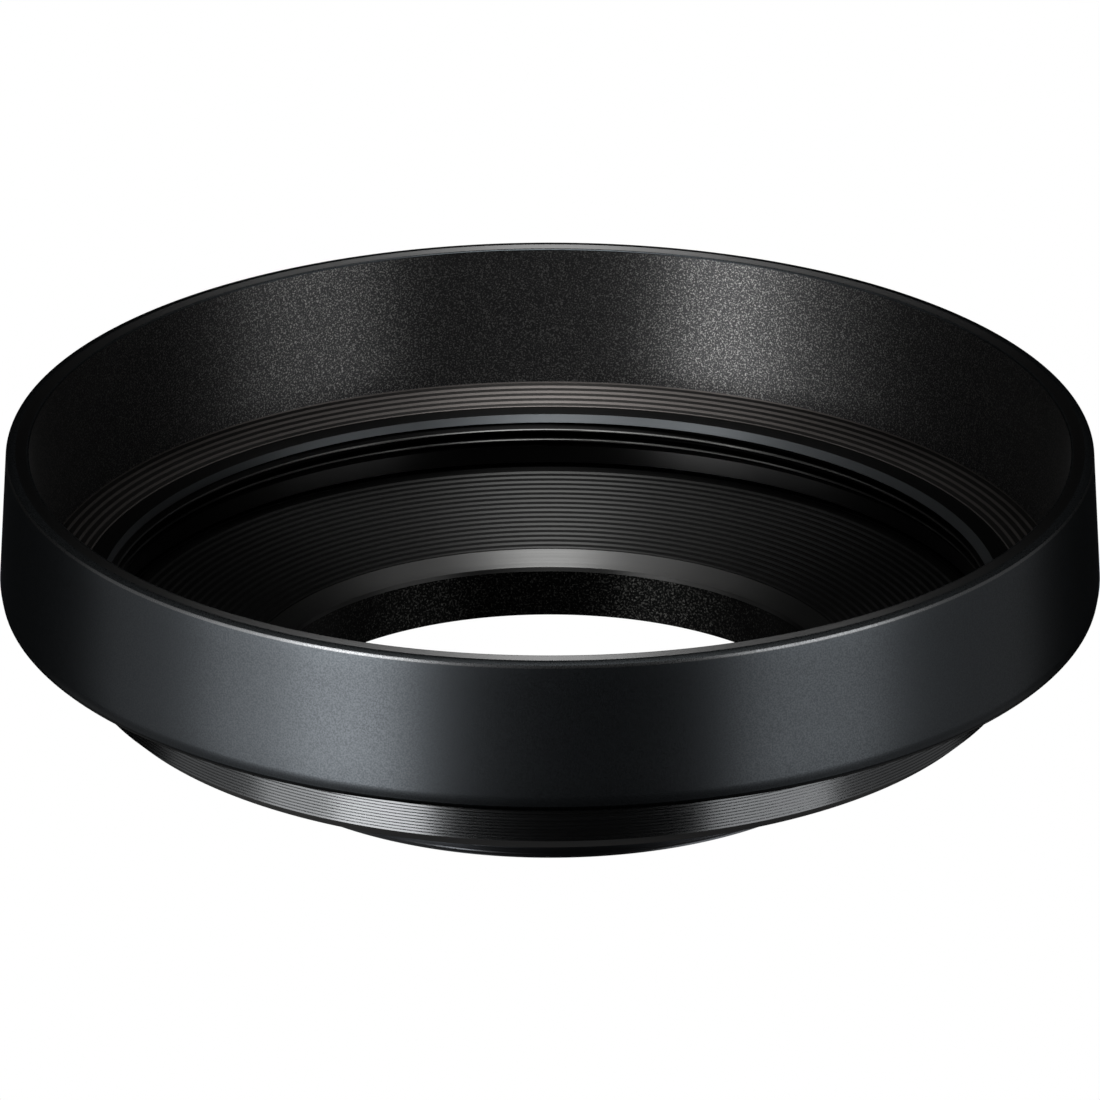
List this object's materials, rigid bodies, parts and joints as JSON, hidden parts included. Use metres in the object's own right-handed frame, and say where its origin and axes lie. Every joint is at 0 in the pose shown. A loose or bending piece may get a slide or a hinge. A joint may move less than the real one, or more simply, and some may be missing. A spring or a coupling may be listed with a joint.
{
  "type": "lens hood",
  "caption": "Round black metal lens hood: a wide shade band round a grooved filter ring, screwed to a lined collar with a ribbed light baffle and a rear screw thread.",
  "frame": {"origin": "centre of the rear end of the aperture tube, which is the lowest face when the hood stands on its rear", "axes": "+Z along the optical axis, out of the front rim; +X and +Y are any two radii, since the hood is round"},
  "size_m": [0.0758, 0.0758, 0.0214],
  "materials": {
    "blasted_anodised": "fine blasted, black anodised",
    "turned_anodised": "fine turned, satin black anodised",
    "lined_anodised": "turned with fine grip lines, satin black anodised",
    "baffle_anodised": "turned ribs, semi-matt black anodised",
    "matte_paint": "coarse matt black anti-reflection paint",
    "slip_fibre": "matt black"
  },
  "bodies": {
    "collar": {"grip_collar": "lined_anodised", "ribbed_baffle": "baffle_anodised", "mount_ring": "turned_anodised", "aperture_tube": "matte_paint"},
    "washer": {"slip_washer": "slip_fibre"},
    "hood": {"filter_ring": "turned_anodised", "shade_ring": "blasted_anodised"}
  },
  "joints": [
    {"name": "hood_rise", "type": "slide", "parent": "collar", "child": "washer", "axis": [0, 0, 1], "range_m": [0, 0.0018]},
    {"name": "hood_turn", "type": "hinge", "parent": "washer", "child": "hood", "pos_m": [0, 0, 0], "axis": [0, 0, 1], "range_deg": [0, 864]}
  ],
  "couplings": [
    {"joint": "hood_rise", "follows": "hood_turn", "m_per_rad": 0.00011937}
  ]
}
